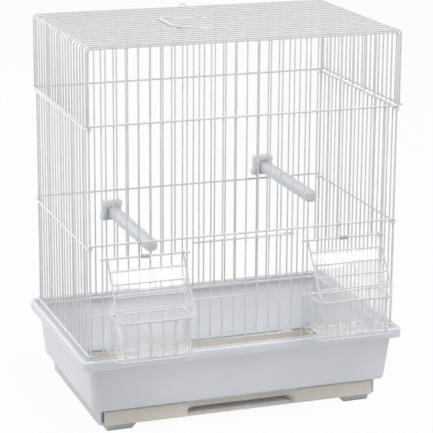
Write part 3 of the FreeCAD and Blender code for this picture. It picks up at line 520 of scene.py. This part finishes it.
@dataclass
class Perches:
    """Both perches and their clips."""

    finish: bpy.types.Material

    def dress(self) -> None:
        """Skins the perches and clips."""
        nodes = [f"{side.word}_{piece}" for side in Side for piece in ("perch", "perch_clip")]
        dress_all(nodes, "cage", self.finish, Edge.MOULDED)


@dataclass(frozen=True)
class Lamp:
    """A square soft lamp: where it stands, its side in metres and its power."""

    name: str
    place: tuple[float, float, float]
    size: float
    watts: float

    def light(self, aim: tuple[float, float, float]) -> None:
        """Adds the lamp to the scene.

        Args:
            aim: the point that it looks at.
        """
        data = bpy.data.lights.new(self.name, "AREA")
        data.size = self.size
        data.energy = self.watts
        lamp = bpy.data.objects.new(self.name, data)
        turn = (Vector(aim) - Vector(self.place)).to_track_quat("-Z", "Y")
        lamp.matrix_world = Matrix.Translation(self.place) @ turn.to_matrix().to_4x4()
        bpy.context.scene.collection.objects.link(lamp)


@dataclass
class Studio:
    """Pale floor, soft lamps, white surround and the camera at the photograph's angle."""

    eye: tuple[float, float, float] = (-0.6531, -1.8247, 0.7334)
    yaw: float = 0.3429
    pitch_deg: float = 15.0
    roll: float = 0.0068
    lens_px: float = 1892.9
    frame_px: float = 433.0
    axis_row_px: float = 201.2
    sensor_mm: float = 36.0
    sky: float = 0.44
    floor_size: float = 12.0
    floor_drop: float = 0.2 * MM
    floor_white: float = 0.95
    floor_tone: str = "#dcdcdc"
    aim: tuple[float, float, float] = (0.0, 0.0, 0.2)
    lamps: tuple[Lamp, ...] = (Lamp("key_left", (-2.0, -0.3, 1.2), 1.4, 10.0),
                               Lamp("top_soft", (0.75, -1.1, 2.15), 1.05, 27.0),
                               Lamp("back_soft", (-1.1, 1.7, 0.7), 1.3, 18.0))

    def camera(self) -> None:
        """Sets the camera to the photograph's place, lens and framing."""
        pitch = math.radians(self.pitch_deg)
        ahead = Vector((math.sin(self.yaw) * math.cos(pitch), math.cos(self.yaw) * math.cos(pitch),
                        -math.sin(pitch)))
        level = Vector((math.cos(self.yaw), -math.sin(self.yaw), 0.0))
        up = level.cross(ahead)
        right = math.cos(self.roll) * level + math.sin(self.roll) * up
        up = right.cross(ahead)
        data = bpy.data.cameras.new("photo_camera")
        data.sensor_width = self.sensor_mm
        data.lens = self.lens_px / self.frame_px * self.sensor_mm
        data.shift_y = (self.axis_row_px - self.frame_px / 2) / self.frame_px
        camera = bpy.data.objects.new("photo_camera", data)
        turn = Matrix((right, up, -ahead)).transposed()
        camera.matrix_world = Matrix.Translation(self.eye) @ turn.to_4x4()
        bpy.context.scene.collection.objects.link(camera)
        bpy.context.scene.camera = camera

    def seen(self, tree: bpy.types.NodeTree) -> bpy.types.NodeSocket:
        """Tells the rays that show the surround from those that light the object.

        Args:
            tree: node tree of the floor or the world.

        Returns:
            A socket that is 1 for a camera, glossy or transmission ray.
        """
        path = add_node(tree, "ShaderNodeLightPath").outputs
        direct = add_node(tree, "ShaderNodeMath", links={0: path["Is Camera Ray"], 1: path["Is Glossy Ray"]},
                          operation="MAXIMUM").outputs["Value"]
        return add_node(tree, "ShaderNodeMath", links={0: direct, 1: path["Is Transmission Ray"]},
                        operation="MAXIMUM").outputs["Value"]

    def surround(self) -> None:
        """White surround that lights the object at a plain level."""
        world = bpy.data.worlds.new("white_surround")
        bpy.context.scene.world = world
        world.use_nodes = True
        tree = world.node_tree
        tree.nodes.clear()
        strength = add_node(tree, "ShaderNodeMapRange", {"To Min": self.sky, "To Max": 1.0},
                            {"Value": self.seen(tree)})
        light = add_node(tree, "ShaderNodeBackground", {"Color": WHITE},
                         {"Strength": strength.outputs["Result"]})
        add_node(tree, "ShaderNodeOutputWorld", links={"Surface": light.outputs["Background"]})

    def floor(self) -> None:
        """Pale floor that keeps a soft shadow."""
        form = bmesh.new()
        bmesh.ops.create_grid(form, x_segments=1, y_segments=1, size=self.floor_size / 2,
                              matrix=Matrix.Translation((0.0, 0.0, -self.floor_drop)))
        material, tree = new_tree("pale_studio_floor")
        share = add_node(tree, "ShaderNodeMath", {1: self.floor_white}, {0: self.seen(tree)},
                         operation="MULTIPLY")
        matt = add_node(tree, "ShaderNodeBsdfDiffuse", {"Color": linear(self.floor_tone)})
        glow = add_node(tree, "ShaderNodeEmission", {"Color": WHITE, "Strength": 1.0})
        mixed = add_node(tree, "ShaderNodeMixShader",
                         links={0: share.outputs[0], 1: matt.outputs["BSDF"], 2: glow.outputs["Emission"]})
        add_node(tree, "ShaderNodeOutputMaterial", links={"Surface": mixed.outputs["Shader"]})
        new_piece("studio_floor", smooth_mesh("studio_floor", form), material)

    def build(self) -> None:
        """Builds the whole studio."""
        self.camera()
        self.surround()
        self.floor()
        for lamp in self.lamps:
            lamp.light(self.aim)
        bpy.context.scene.view_settings.view_transform = "Standard"


def main() -> None:
    """Builds the studio and dresses every part of the cage."""
    logging.basicConfig(level=logging.INFO, format="%(name)s: %(message)s")
    coat = WIRE_COAT.material()
    spring = SPRING_WIRE.material()
    clear = CLEAR_PLASTIC.material()
    Studio().build()
    WireBody(coat).dress()
    Door(coat).dress()
    Handle(coat).dress()
    for side in Side:
        Feeder(side, coat, spring, clear).dress()
    for body in WELDED_BODIES:
        Welds(body, coat).dress()
    Base(TUB_PLASTIC.material(), DRAWER_PLASTIC.material()).dress()
    Perches(PERCH_PLASTIC.material()).dress()


if __name__ == "__main__":
    main()
